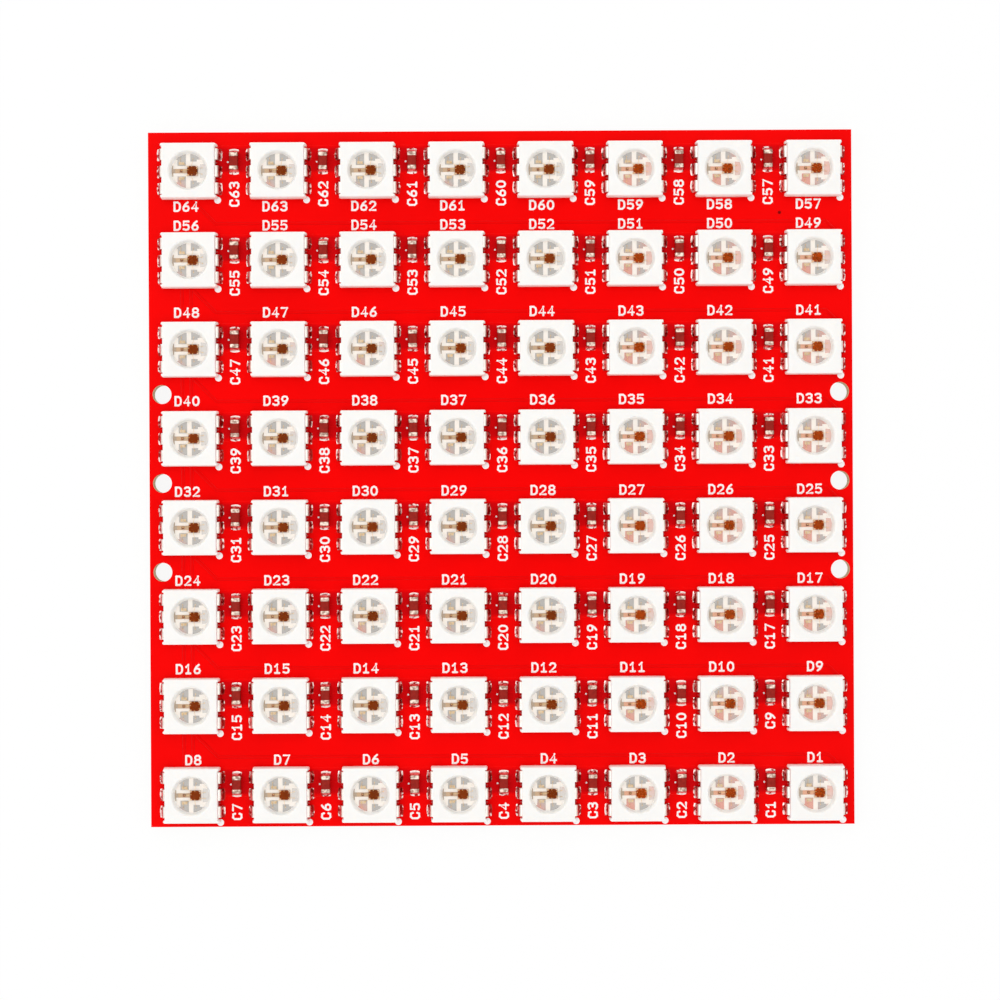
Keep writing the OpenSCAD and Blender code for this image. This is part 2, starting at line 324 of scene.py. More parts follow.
def end_painted(tree, start, end, geometry):
    """Ends a geometry tree: its instances made real, with the finish set on them."""
    real = node(tree, "GeometryNodeRealizeInstances", {"Geometry": geometry})
    finish = {"Geometry": real.outputs[0], "Material": start.outputs["Finish"]}
    painted = node(tree, "GeometryNodeSetMaterial", finish)
    tree.links.new(painted.outputs[0], end.inputs["Geometry"])


def make_board_grid():
    """Geometry tree: one part repeated over the even grid of the board."""
    tree, start, end = empty_tree(
        "board_grid",
        "GeometryNodeTree",
        {
            "Part": ("NodeSocketGeometry", None),
            "Columns": ("NodeSocketInt", LED_COLUMNS),
            "Rows": ("NodeSocketInt", LED_ROWS),
            "Pitch": ("NodeSocketFloat", LED_PITCH),
            "Middle": ("NodeSocketVector", (0, 0, 0)),
            "Finish": ("NodeSocketMaterial", None),
        },
        {"Geometry": "NodeSocketGeometry"},
    )
    gaps_across = math_node(tree, "SUBTRACT", start.outputs["Columns"], 1.0)
    gaps_up = math_node(tree, "SUBTRACT", start.outputs["Rows"], 1.0)
    grid = node(
        tree,
        "GeometryNodeMeshGrid",
        {
            "Size X": math_node(tree, "MULTIPLY", gaps_across, start.outputs["Pitch"]),
            "Size Y": math_node(tree, "MULTIPLY", gaps_up, start.outputs["Pitch"]),
            "Vertices X": start.outputs["Columns"],
            "Vertices Y": start.outputs["Rows"],
        },
    )
    places = node(
        tree,
        "GeometryNodeSetPosition",
        {"Geometry": grid.outputs["Mesh"], "Offset": start.outputs["Middle"]},
    )
    parts = node(
        tree,
        "GeometryNodeInstanceOnPoints",
        {"Points": places.outputs[0], "Instance": start.outputs["Part"]},
    )
    end_painted(tree, start, end, parts.outputs[0])
    return tree


board_grid = make_board_grid()


def at_leds(piece, finish):
    """One copy of a piece at every LED."""
    grow(piece, board_grid, Middle=LED_GRID_MIDDLE, Finish=finish.material)


def at_capacitors(piece, finish):
    """One copy of a piece at every capacitor, midway between two LEDs of a row."""
    columns = LED_COLUMNS - 1
    grow(piece, board_grid, Columns=columns, Middle=CAPACITOR_GRID_MIDDLE, Finish=finish.material)


def rounded_outline(half_x, half_y, radius, steps=3):
    """Points of a rectangle with round corners, anticlockwise from the +X side."""
    points = []
    for quarter, (sx, sy) in enumerate(((1, 1), (-1, 1), (-1, -1), (1, -1))):
        for step in range(steps + 1):
            angle = math.pi / 2 * (quarter + step / steps)
            x = sx * (half_x - radius) + radius * math.cos(angle)
            y = sy * (half_y - radius) + radius * math.sin(angle)
            points.append((x, y))
    return points


def circle(radius, level, sides, middle=(0, 0)):
    """Points of a level circle, anticlockwise from the +X side."""
    turns = [2 * math.pi * i / sides for i in range(sides)]
    return [(middle[0] + radius * math.cos(a), middle[1] + radius * math.sin(a), level) for a in turns]


def join_rings(bm, rings):
    """Faces between each ring of vertices and the next, which is as long."""
    for low, high in zip(rings, rings[1:]):
        for i in range(len(low)):
            j = (i + 1) % len(low)
            bm.faces.new((low[i], low[j], high[j], high[i]))


def add_stack(bm, loops):
    """Joins a stack of loops of points, each as long as the next, and closes both ends."""
    rings = [[bm.verts.new(point) for point in loop] for loop in loops]
    join_rings(bm, rings)
    bm.faces.new(reversed(rings[0]))
    bm.faces.new(rings[-1])


def make_grid_cell():
    """Shader group: where a point lies in its own cell of the grid, in millimetres, a chance value
    for each cell, and a mask of the right-hand columns, where the LEDs are warmer in tone."""
    tree, start, end = empty_tree(
        "grid_cell",
        "ShaderNodeTree",
        {
            "First place": ("NodeSocketVector", FIRST_LED),
            "Pitch": ("NodeSocketFloat", LED_PITCH),
            "Warm from": ("NodeSocketFloat", COOL_COLUMNS - 0.5),
        },
        {
            "Across": "NodeSocketFloat",
            "Up": "NodeSocketFloat",
            "Chance": "NodeSocketFloat",
            "Warm": "NodeSocketFloat",
        },
    )

    def vector_math(operation, inputs):
        return node(tree, "ShaderNodeVectorMath", inputs, operation=operation).outputs[0]

    offset = vector_math("SUBTRACT", {0: object_place(tree), 1: start.outputs["First place"]})
    per_pitch = math_node(tree, "DIVIDE", 1.0, start.outputs["Pitch"])
    steps = vector_math("SCALE", {0: offset, "Scale": per_pitch})
    warm = math_node(tree, "GREATER_THAN", axes(tree, steps)["X"], start.outputs["Warm from"])
    tree.links.new(warm, end.inputs["Warm"])
    cells = vector_math("ADD", {0: steps, 1: (0.5, 0.5, 0.5)})
    inside = axes(tree, vector_math("FRACTION", {0: cells}))
    for axis, label in (("X", "Across"), ("Y", "Up")):
        centred = math_node(tree, "SUBTRACT", inside[axis], 0.5)
        in_metres = math_node(tree, "MULTIPLY", centred, start.outputs["Pitch"])
        tree.links.new(math_node(tree, "DIVIDE", in_metres, MM), end.inputs[label])
    which = vector_math("FLOOR", {0: cells})
    chance = node(tree, "ShaderNodeTexWhiteNoise", {"Vector": which}, noise_dimensions="3D")
    tree.links.new(chance.outputs[0], end.inputs["Chance"])
    return tree


grid_cell = make_grid_cell()


def distance(tree, value, middle=0.0):
    """How far a value lies from a middle, either way."""
    return math_node(tree, "ABSOLUTE", math_node(tree, "SUBTRACT", value, middle))


mask_over_copper_and_shade = make_solder_mask("mask_over_copper_and_shade", MASK_OVER_COPPER_AND_SHADE, MASK_OVER_COPPER_AND_SHADE_THIN)
tree = mask_over_copper_and_shade.tree
first_capacitor = FIRST_LED + Vector((LED_PITCH / 2, CAPACITOR_UP, 0))
cell = node(tree, "ShaderNodeGroup", {"First place": first_capacitor}, node_tree=grid_cell).outputs
# Painted shade: the darker red fades out softly at the top and bottom of each area, as shade does
from_middle = distance(tree, cell["Up"], COPPER_MIDDLE_Y / MM)
to_end = math_node(tree, "SUBTRACT", COPPER_HALF_Y / MM, from_middle)
full = ramp(tree, to_end, 0.0, COPPER_AND_SHADE_FADE / MM, "SMOOTHSTEP")
colour = blend_colours(tree, full, MASK_RED, mask_over_copper_and_shade.tones.outputs["Colour"])
feed(mask_over_copper_and_shade, "Base Color", colour)

islands = bmesh.new()
half_y = COPPER_HALF_Y / 2 - COPPER_GAP / 4
foot = rounded_outline(COPPER_HALF_X, half_y, COPPER_CORNER)
crown = rounded_outline(COPPER_HALF_X - COPPER_SLOPE, half_y - COPPER_SLOPE, COPPER_CORNER - COPPER_SLOPE)
for side in (-1, 1):
    middle_y = COPPER_MIDDLE_Y + side * (half_y + COPPER_GAP / 2)
    levels = ((foot, -COPPER_RISE), (foot, 0), (crown, COPPER_RISE))
    add_stack(islands, [[(x, y + middle_y, BOARD_TOP + up) for x, y in loop] for loop, up in levels])
copper_areas = new_piece("copper_areas_under_mask", islands)
at_capacitors(copper_areas, mask_over_copper_and_shade)
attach(copper_areas, "root")


def joined(tree, *parts):
    """Several geometries as one."""
    whole = node(tree, "GeometryNodeJoinGeometry")
    for part in parts:
        tree.links.new(part, whole.inputs[0])
    return whole.outputs[0]


def make_ridge_on_paths():
    """Geometry tree: a low rounded ridge along every path, with a round spot at each of its points."""
    tree, start, end = empty_tree(
        "ridge_on_paths",
        "GeometryNodeTree",
        {
            "Paths": ("NodeSocketGeometry", None),
            "Width": ("NodeSocketFloat", 0.2 * MM),
            "Rise": ("NodeSocketFloat", 0.02 * MM),
            "Finish": ("NodeSocketMaterial", None),
        },
        {"Geometry": "NodeSocketGeometry"},
    )
    half = math_node(tree, "MULTIPLY", start.outputs["Width"], 0.5)
    spot_rise = math_node(tree, "MULTIPLY", start.outputs["Rise"], SPOT_LOWER)
    section_size = node(tree, "ShaderNodeCombineXYZ", {0: half, 1: start.outputs["Rise"], 2: 1.0})
    spot_size = node(tree, "ShaderNodeCombineXYZ", {0: half, 1: half, 2: spot_rise})
    round_section = node(tree, "GeometryNodeCurvePrimitiveCircle", {"Resolution": 8, "Radius": 1.0})
    section = node(
        tree,
        "GeometryNodeTransform",
        {"Geometry": round_section.outputs[0], "Scale": section_size.outputs[0]},
    )
    curves = node(tree, "GeometryNodeMeshToCurve", {"Mesh": start.outputs["Paths"]})
    level = node(tree, "GeometryNodeSetCurveNormal", {"Curve": curves.outputs[0]}, mode="Z_UP")
    ridges = node(
        tree,
        "GeometryNodeCurveToMesh",
        {"Curve": level.outputs[0], "Profile Curve": section.outputs[0], "Fill Caps": True},
    )
    ball = node(tree, "GeometryNodeMeshUVSphere", {"Segments": 8, "Rings": 4, "Radius": 1.0})
    spots = node(
        tree,
        "GeometryNodeInstanceOnPoints",
        {
            "Points": start.outputs["Paths"],
            "Instance": ball.outputs["Mesh"],
            "Scale": spot_size.outputs[0],
        },
    )
    end_painted(tree, start, end, joined(tree, spots.outputs[0], ridges.outputs[0]))
    return tree


ridge_on_paths = make_ridge_on_paths()


def as_edges(paths):
    """Vertices and edges of open paths, for a mesh without faces."""
    points, edges = [], []
    for path in paths:
        edges += [(len(points) + i, len(points) + i + 1) for i in range(len(path) - 1)]
        points += path
    return points, edges, []


def add_disc(bm, middle, radius, rise, sides):
    """Thin round spot on the board or on its copper, with a rounded edge."""
    level = BOARD_TOP + middle.z
    rings = ((radius, -rise), (radius, rise * DISC_SHOULDER), (radius - rise, rise))
    add_stack(bm, [circle(size, level + up, sides, middle) for size, up in rings])


tracks = []
for row in range(1, LED_ROWS):
    run = FIRST_LED.y - row * LED_PITCH + TRACK_UP
    track = [(FIRST_LED.x + x * MM, run + y * MM, BOARD_TOP) for x, y in TRACK_START]
    track += [(LAST_LED_X + x * MM, run + y * MM, BOARD_TOP) for x, y in TRACK_END]
    tracks.append(track)
for shift in UPRIGHT_TRACKS:
    for row in range(1, LED_ROWS - 1):
        high = FIRST_LED.y - row * LED_PITCH - UPRIGHT_TRACK_END
        low = high - LED_PITCH + 2 * UPRIGHT_TRACK_END
        tracks.append([(FIRST_LED.x + shift, y, BOARD_TOP) for y in (high, low)])

mask_over_tracks = make_solder_mask("mask_over_tracks", MASK_OVER_TRACK, MASK_OVER_TRACK_THIN)
data_tracks = new_piece("data_tracks_under_mask", as_edges(tracks))
grow(data_tracks, ridge_on_paths, Width=TRACK_WIDTH, Rise=TRACK_RISE, Finish=mask_over_tracks.material)

ring = bmesh.new()
add_disc(ring, VIA_PLACE, VIA_RING_RADIUS, TRACK_RISE, sides=20)
via_ring = new_piece("via_ring_under_mask", ring)
via_ring.data.materials.append(mask_over_tracks.material)
# Painted shade: a dark disc in the middle of the via in place of the shade down its hole
hole = bmesh.new()
add_disc(hole, VIA_PLACE, VIA_HOLE_RADIUS, VIA_HOLE_RISE, sides=16)
via_hole = new_piece("via_hole_under_mask", hole)
via_shade_finish = make_solder_mask("mask_with_painted_via_shade", VIA_PAINTED_SHADE, VIA_PAINTED_SHADE)
via_hole.data.materials.append(via_shade_finish.material)

for piece in (data_tracks, via_ring, via_hole):
    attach(piece, "root")


# White print: ink screened on the mask. Each LED and each capacitor has its number beside it,
# and a round dot marks one corner of every LED, with a small one at the side of each capacitor.

INK_WHITE = (0.95, 0.945, 0.94, 1)
INK_THIN = (0.92, 0.9, 0.895, 1)
INK_RISE = 0.03 * MM
STROKE_WIDTH = 0.195 * MM
GLYPH_WIDTH = 0.5 * MM
GLYPH_HEIGHT = 0.77 * MM
GLYPH_ADVANCE = 0.8 * MM
LED_NUMBER_END = 0.8 * MM
# Height of each row's numbers above the middle of its LEDs, from the top row down
LED_NUMBER_UP = [up * MM for up in (-3.1, 3.18, 3.35, 3.39, 3.24, 3.23, 3.27, 3.08)]
CAPACITOR_NUMBER_END = -0.86 * MM
DOT_RADIUS = 0.31 * MM
DOT_PLACE = Vector((2.5, -2.54, 0)) * MM
SPECK_RADIUS = 0.09 * MM
SPECK_PLACE = Vector((-0.56 * MM, -0.03 * MM, COPPER_RISE))

# Strokes of each sign in a box of width and height 1, from its lower left corner
STROKES = {
    "D": (
        ((0, 0), (0.6, 0), (0.92, 0.16), (1, 0.36), (1, 0.64), (0.92, 0.84), (0.6, 1), (0, 1)),
        ((0.03, 0), (0.03, 1)),
    ),
    "C": (
        ((1, 0.76), (0.88, 0.97), (0.3, 1), (0.03, 0.8), (0.03, 0.2), (0.3, 0), (0.88, 0.03), (1, 0.24)),
    ),
    "0": (
        (
            (0.5, 0), (0.84, 0.1), (1, 0.35), (1, 0.65), (0.84, 0.9), (0.5, 1),
            (0.16, 0.9), (0, 0.65), (0, 0.35), (0.16, 0.1), (0.5, 0),
        ),
    ),
    "1": (((0.12, 0.74), (0.5, 1), (0.5, 0)), ((0.12, 0), (0.88, 0))),
    "2": (((0.02, 0.78), (0.2, 0.96), (0.5, 1), (0.84, 0.94), (0.98, 0.74), (0.9, 0.55), (0, 0), (1, 0)),),
    "3": (
        ((0.04, 0.9), (0.3, 1), (0.7, 1), (0.94, 0.88), (0.94, 0.66), (0.7, 0.53), (0.4, 0.53)),
        ((0.7, 0.53), (0.98, 0.38), (0.98, 0.16), (0.74, 0.01), (0.3, 0), (0.02, 0.12)),
    ),
    "4": (((0.72, 0), (0.72, 1), (0, 0.3), (1, 0.3)),),
    "5": (
        (
            (0.94, 1), (0.1, 1), (0.04, 0.56), (0.5, 0.63), (0.88, 0.54),
            (1, 0.32), (0.88, 0.09), (0.5, 0), (0.04, 0.1),
        ),
    ),
    "6": (
        (
            (0.8, 1), (0.4, 0.8), (0.1, 0.48), (0, 0.26), (0.16, 0.05), (0.5, 0),
            (0.84, 0.06), (1, 0.3), (0.84, 0.52), (0.5, 0.58), (0.14, 0.5),
        ),
    ),
    "7": (((0, 1), (1, 1), (0.36, 0)),),
    "8": (
        (
            (0.3, 0.53), (0.06, 0.68), (0.06, 0.86), (0.3, 1), (0.7, 1), (0.94, 0.86),
            (0.94, 0.68), (0.7, 0.53), (1, 0.36), (1, 0.15), (0.72, 0), (0.28, 0),
            (0, 0.15), (0, 0.36), (0.3, 0.53), (0.7, 0.53),
        ),
    ),
    "9": (
        (
            (0.2, 0), (0.6, 0.2), (0.9, 0.52), (1, 0.74), (0.84, 0.95), (0.5, 1),
            (0.16, 0.94), (0, 0.7), (0.16, 0.48), (0.5, 0.42), (0.86, 0.5),
        ),
    ),
}


def number_strokes(text, end, turned):
    """Strokes of a number that ends at a point. Turned numbers read upwards, the others to the right."""
    strokes = []
    for place, sign in enumerate(reversed(text)):
        for stroke in STROKES[sign]:
            path = []
            for x, y in stroke:
                along = (x - 1) * GLYPH_WIDTH - STROKE_WIDTH / 2 - place * GLYPH_ADVANCE
                across = (y - 0.5) * GLYPH_HEIGHT
                if turned:
                    along, across = -across, along
                path.append((end[0] + along, end[1] + across, BOARD_TOP))
            strokes.append(path)
    return strokes


print_ink = start_finish(
    "white_print_ink", INK_WHITE, INK_THIN,
    cloud=0.25 * MM, grain=0.06 * MM, roughness=0.55, bump=0.3,
)

strokes = []
for row in range(LED_ROWS):
    for column in range(LED_COLUMNS):
        led = FIRST_LED + Vector((column, -row, 0)) * LED_PITCH
        count = (LED_ROWS - row) * LED_COLUMNS - column
        end = (led.x + LED_NUMBER_END, led.y + LED_NUMBER_UP[row])
        strokes += number_strokes(f"D{count}", end, turned=False)
        if column < LED_COLUMNS - 1:
            end = (led.x + LED_PITCH / 2, led.y + CAPACITOR_NUMBER_END)
            strokes += number_strokes(f"C{count - 1}", end, turned=True)
part_numbers = new_piece("printed_part_numbers", as_edges(strokes))
grow(part_numbers, ridge_on_paths, Width=STROKE_WIDTH, Rise=INK_RISE, Finish=print_ink.material)

dot = bmesh.new()
add_disc(dot, DOT_PLACE, DOT_RADIUS, INK_RISE, sides=20)
corner_dots = new_piece("printed_corner_dots", dot)
at_leds(corner_dots, print_ink)

speck = bmesh.new()
add_disc(speck, SPECK_PLACE, SPECK_RADIUS, INK_RISE, sides=10)
capacitor_specks = new_piece("printed_capacitor_specks", speck)
at_capacitors(capacitor_specks, print_ink)

for piece in (part_numbers, corner_dots, capacitor_specks):
    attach(piece, "root")


# Lead frames: six leads of thin copper strip to each LED, stamped, silver plated and bent over the
# body's edge. The plating is bright outside, and grey, rose or tan on the pads in the cup.

SILVER = (0.85, 0.81, 0.76, 1)
SILVER_WORN = (0.75, 0.69, 0.63, 1)
PAD_GREY = (0.39, 0.37, 0.35, 1)
PAD_ROSE = (0.57, 0.29, 0.24, 1)
PAD_OLIVE = (0.45, 0.31, 0.2, 1)
PAD_TAN = (0.56, 0.3, 0.2, 1)
PAD_BAR = (0.36, 0.28, 0.21, 1)
PAD_PALE_GREY = (0.54, 0.51, 0.48, 1)
PAD_PALE_ROSE = (0.62, 0.41, 0.36, 1)
# Where the pads lie in the cup, in millimetres across or up from its middle
PADS_MIDDLE = 0.45
OUTER_PAD_FROM = 0.9
PADDLE_HALF_Y = 0.45
BAR_UP_TO = -1.2
CUP_REACH = 1.7
# How rosy a pad is: a start, and what the slant across the cup, its side, its column and chance add
ROSE_START = -0.95
ROSE_SLANT = 0.7
ROSE_RIGHT = -0.55
ROSE_OUTER = 0.85
ROSE_WARM = 1.2
ROSE_CHANCE = 0.9


def weigh(tree, start, *terms):
    """Start value plus each term times its weight, held between 0 and 1."""
    total = start
    for term, weight in terms:
        total = math_node(tree, "MULTIPLY_ADD", term, weight, total)
    return node(tree, "ShaderNodeClamp", {0: total}).outputs[0]


lead_metal = start_finish(
    "silver_plated_strip", SILVER, SILVER_WORN,
    cloud=0.4 * MM, grain=0.05 * MM, roughness=0.4, bump=0.25, metallic=1.0,
)
tree = lead_metal.tree
cell = node(tree, "ShaderNodeGroup", node_tree=grid_cell).outputs
slant = math_node(tree, "MULTIPLY", cell["Up"], math_node(tree, "SUBTRACT", cell["Across"], PADS_MIDDLE))
right = math_node(tree, "GREATER_THAN", cell["Across"], 0.0)
outer = math_node(tree, "GREATER_THAN", cell["Across"], OUTER_PAD_FROM)
rose = weigh(
    tree,
    ROSE_START,
    (slant, ROSE_SLANT),
    (right, ROSE_RIGHT),
    (outer, ROSE_OUTER),
    (cell["Warm"], ROSE_WARM),
    (cell["Chance"], ROSE_CHANCE),
)
pad = blend_colours(tree, rose, PAD_GREY, PAD_ROSE)
pale_pad = blend_colours(tree, rose, PAD_PALE_GREY, PAD_PALE_ROSE)
tint = blend_colours(tree, outer, pad, pale_pad)
level = math_node(tree, "LESS_THAN", distance(tree, cell["Up"]), PADDLE_HALF_Y)
paddle = math_node(tree, "MULTIPLY", level, math_node(tree, "LESS_THAN", cell["Across"], 0.0))
tint = blend_colours(tree, paddle, tint, blend_colours(tree, cell["Warm"], PAD_OLIVE, PAD_TAN))
tint = blend_colours(tree, math_node(tree, "LESS_THAN", cell["Across"], BAR_UP_TO), tint, PAD_BAR)
in_cup = math_node(tree, "LESS_THAN", distance(tree, cell["Across"]), CUP_REACH)
feed(lead_metal, "Base Color", blend_colours(tree, in_cup, lead_metal.tones.outputs["Colour"], tint))
paint(lead_metal, *(f"lead_frames_row_{row}" for row in range(1, LED_ROWS + 1)))


# LED housings: white heat-proof plastic moulded round the lead frame, with a round reflector cup.
# The sides lean in a little for the mould. Above low teeth, the two lead sides step back to the bends,
# and the teeth are painted dark red for the shade and the board's red light that they stand in.

HOUSING_FOOT = BOARD_TOP + 0.05 * MM
HOUSING_SHOULDER = BOARD_TOP + 0.23 * MM
HOUSING_TOP = BOARD_TOP + 1.6 * MM
HOUSING_HALF_X = 2.55 * MM
HOUSING_HALF_Y = 2.5 * MM
HOUSING_LEAN = 0.07 * MM
HOUSING_EDGE = 0.04 * MM
HOUSING_CORNER = 0.14 * MM
CORNER_STEPS = 4
SHOULDER_EDGE = 0.02 * MM
FOOT_HALF_X = 1.6 * MM
FOOT_HALF_Y = 2.48 * MM
FOOT_CORNER = 0.1 * MM
FOOT_OVERLAP = 0.1 * MM
LEAD_PITCH = 1.53 * MM
SLOT_HALF = 0.68 * MM
SLOT_FLOOR_X = 2.35 * MM
TOOTH_TOP = BOARD_TOP + 0.5 * MM
TOOTH_STEP = 0.02 * MM
TOOTH_EASE = 0.03 * MM
# Points across a tooth: share of its width, and how far back it is eased there
TOOTH_POINTS = ((0.15, TOOTH_EASE), (0.35, 0), (0.65, 0), (0.85, TOOTH_EASE))
CUP_FLOOR = BOARD_TOP + 0.8 * MM
CUP_RIM_R = 1.8 * MM
CUP_FLOOR_R = 1.55 * MM
CUP_SIDES = 40
PLATE_STEP = 0.012 * MM
# Wall of the cup from its opened-out rim down, in millimetres: depth under the top, radius past the rim's
CUP_WALL = (
    (0, 0.16),
    (0.004, 0.1),
    (0.012, 0.055),
    (0.024, 0.018),
    (0.045, -0.015),
    (0.11, -0.065),
    (0.25, -0.125),
    (0.5, -0.18),
)
# Rounded foot of that wall, in millimetres: height over the floor, radius past the floor's
CUP_WALL_FOOT = ((0.12, 0.045), (0.04, 0.02), (0.01, -0.005), (-PLATE_STEP / MM, -0.04))
PLASTIC_WHITE = (0.9, 0.885, 0.86, 1)
PLASTIC_SHADE = (0.88, 0.865, 0.84, 1)
# Painted light: below its top the plastic is coloured lighter than the top, to make up for the shade in the
# cup and on the sides; from just above the cup floor down it turns to a warmer tone
PLASTIC_LIT_BELOW_TOP = (1.0, 0.985, 0.945, 1)
PLASTIC_WARM_LOW = (0.91, 0.845, 0.78, 1)
RIM_DEPTH = 3 * HOUSING_EDGE
WARM_LOW_UP_TO = CUP_FLOOR + 0.03 * MM
# Painted shade: dark red on the low teeth between the leads, for their shade and the board's red light
TOOTH_PAINTED_SHADE = (0.42, 0.02, 0.02, 1)
TOOTH_SHADE_UP_TO = TOOTH_TOP + 0.03 * MM
# Light that sinks into the plastic: its share, and how deep red, green and blue go by the depth
PLASTIC_GLOW = 0.4
PLASTIC_GLOW_REACH = (1.0, 0.9, 0.8)
PLASTIC_GLOW_DEPTH = 0.15 * MM


def castellated_outline(half_x, half_y, inset, toothed):
    """Outline of the body at one height. Each lead side is open at its leads, and above the teeth
    it is open between them too."""
    slot = SLOT_HALF + inset
    floor = SLOT_FLOOR_X - inset
    tooth = LEAD_PITCH - 2 * slot
    side = [(half_x, -LEAD_PITCH - slot - TOOTH_EASE), (half_x - TOOTH_EASE, -LEAD_PITCH - slot)]
    for middle in (-LEAD_PITCH, 0, LEAD_PITCH):
        side += [(floor, middle - slot), (floor, middle + slot)]
        if middle < LEAD_PITCH:
            for share, ease in TOOTH_POINTS:
                reach = half_x - ease if toothed else floor
                side.append((reach, middle + slot + share * tooth))
    side += [(half_x - TOOTH_EASE, LEAD_PITCH + slot), (half_x, LEAD_PITCH + slot + TOOTH_EASE)]
    corner = []
    for step in range(CORNER_STEPS + 1):
        angle = math.pi / 2 * step / CORNER_STEPS
        x = half_x - HOUSING_CORNER + HOUSING_CORNER * math.cos(angle)
        y = half_y - HOUSING_CORNER + HOUSING_CORNER * math.sin(angle)
        corner.append((x, y))
    right = [(x, -y) for x, y in reversed(corner)] + side + corner
    return right + [(-x, -y) for x, y in right]


def add_housing(bm):
    """One moulded body, its cup and its narrower foot."""
    shell = []
    for height, inset in (
        (HOUSING_SHOULDER, SHOULDER_EDGE),
        (HOUSING_SHOULDER + SHOULDER_EDGE, 0),
        (TOOTH_TOP, 0),
        (TOOTH_TOP + TOOTH_STEP, 0),
        (HOUSING_TOP - HOUSING_EDGE, 0),
        (HOUSING_TOP - 0.3 * HOUSING_EDGE, 0.3 * HOUSING_EDGE),
        (HOUSING_TOP, HOUSING_EDGE),
    ):
        lean = HOUSING_LEAN * (height - HOUSING_FOOT) / (HOUSING_TOP - HOUSING_FOOT)
        half_x = HOUSING_HALF_X - lean - inset
        half_y = HOUSING_HALF_Y - lean - inset
        outline = castellated_outline(half_x, half_y, inset, height <= TOOTH_TOP)
        shell.append([bm.verts.new((x, y, height)) for x, y in outline])
    wall = [(CUP_RIM_R + past * MM, HOUSING_TOP - depth * MM) for depth, past in CUP_WALL]
    wall += [(CUP_FLOOR_R + past * MM, CUP_FLOOR + up * MM) for up, past in CUP_WALL_FOOT]
    cup = [[bm.verts.new(point) for point in circle(radius, level, CUP_SIDES)] for radius, level in wall]
    join_rings(bm, shell)
    join_rings(bm, cup)
    bm.faces.new(reversed(shell[0]))
    bm.faces.new(cup[-1])
    top_edges = []
    for ring in (shell[-1], cup[0]):
        for i in range(len(ring)):
            top_edges.append(bm.edges.get((ring[i], ring[(i + 1) % len(ring)])))
    bmesh.ops.triangle_fill(bm, edges=top_edges, use_beauty=True)
    foot = rounded_outline(FOOT_HALF_X, FOOT_HALF_Y, FOOT_CORNER)
    levels = (HOUSING_FOOT, HOUSING_SHOULDER + FOOT_OVERLAP)
    add_stack(bm, [[(x, y, level) for x, y in foot] for level in levels])
    bmesh.ops.recalc_face_normals(bm, faces=bm.faces)


def shade_by_angle(piece, degrees):
    """Smooth shading, with an edge kept sharp where its faces meet at more than an angle."""
    piece.data.polygons.foreach_set("use_smooth", [True] * len(piece.data.polygons))
    piece.data.set_sharp_from_angle(angle=math.radians(degrees))


housing_plastic = start_finish(
    "white_housing_plastic", PLASTIC_WHITE, PLASTIC_SHADE,
    cloud=1.5 * MM, grain=0.08 * MM, roughness=0.5, bump=0.15,
)
tree = housing_plastic.tree
height = axes(tree, object_place(tree))["Z"]
# Painted light: under the top the plastic is lighter, against the shade in the cup and on the sides, and
# warmer lower down
below = ramp(tree, height, HOUSING_TOP, HOUSING_TOP - RIM_DEPTH)
deep = ramp(tree, height, WARM_LOW_UP_TO, CUP_FLOOR)
lit_and_warm_below_top = blend_colours(tree, deep, PLASTIC_LIT_BELOW_TOP, PLASTIC_WARM_LOW)
colour = blend_colours(tree, below, housing_plastic.tones.outputs["Colour"], lit_and_warm_below_top)
cell = node(tree, "ShaderNodeGroup", node_tree=grid_cell).outputs
# Painted shade and red bounce light: the low teeth between the leads take the dark red
low = math_node(tree, "LESS_THAN", height, TOOTH_SHADE_UP_TO)
outside = math_node(tree, "GREATER_THAN", distance(tree, cell["Across"]), SLOT_FLOOR_X / MM)
between = math_node(tree, "LESS_THAN", distance(tree, cell["Up"]), LEAD_PITCH / MM)
on_tooth = math_node(tree, "MULTIPLY", math_node(tree, "MULTIPLY", low, outside), between)
feed(housing_plastic, "Base Color", blend_colours(tree, on_tooth, colour, TOOTH_PAINTED_SHADE))
housing_plastic.shader.inputs["Subsurface Weight"].default_value = PLASTIC_GLOW
housing_plastic.shader.inputs["Subsurface Radius"].default_value = PLASTIC_GLOW_REACH
housing_plastic.shader.inputs["Subsurface Scale"].default_value = PLASTIC_GLOW_DEPTH

body = bmesh.new()
add_housing(body)
housings = new_piece("led_housings", body)
shade_by_angle(housings, degrees=30)
at_leds(housings, housing_plastic)
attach(housings, "root")
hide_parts(*(f"led_housings_row_{row}" for row in range(1, LED_ROWS + 1)))


# Chips: a driver of brown silicon on the middle paddle, and three emitters glued to their pads.
# Sawn from wafers, with a metal bond pad in each corner of the driver.

SILICON_ORANGE = (0.54, 0.058, 0.0, 1)
SILICON_DARK = (0.08, 0.0105, 0.0, 1)
SILICON_LINE = (0.36, 0.06, 0.004, 1)
SILICON_PAD = (0.74, 0.52, 0.38, 1)
SILICON_SHINE = 0.03
CIRCUIT_BLOCK = 0.3 * MM
# How dark a driver is: a start, and what its right side, chance and the warm columns add
DARK_START = 0.66
DARK_RIGHT = 0.2
DARK_CHANCE = 0.3
DARK_WARM = -0.85
# Middle of the driver across the cup, and how far from it, across plus up, its corner pads start,
# in millimetres
DRIVER_MIDDLE = 0.34
DRIVER_PADS_FROM = 0.7
RED_DIE = (0.05, 0.007, 0.003, 1)
RED_DIE_RIM = (0.42, 0.12, 0.035, 1)
GOLD_DIE = (0.74, 0.58, 0.4, 1)
GOLD_DIE_DEEP = (0.56, 0.42, 0.27, 1)

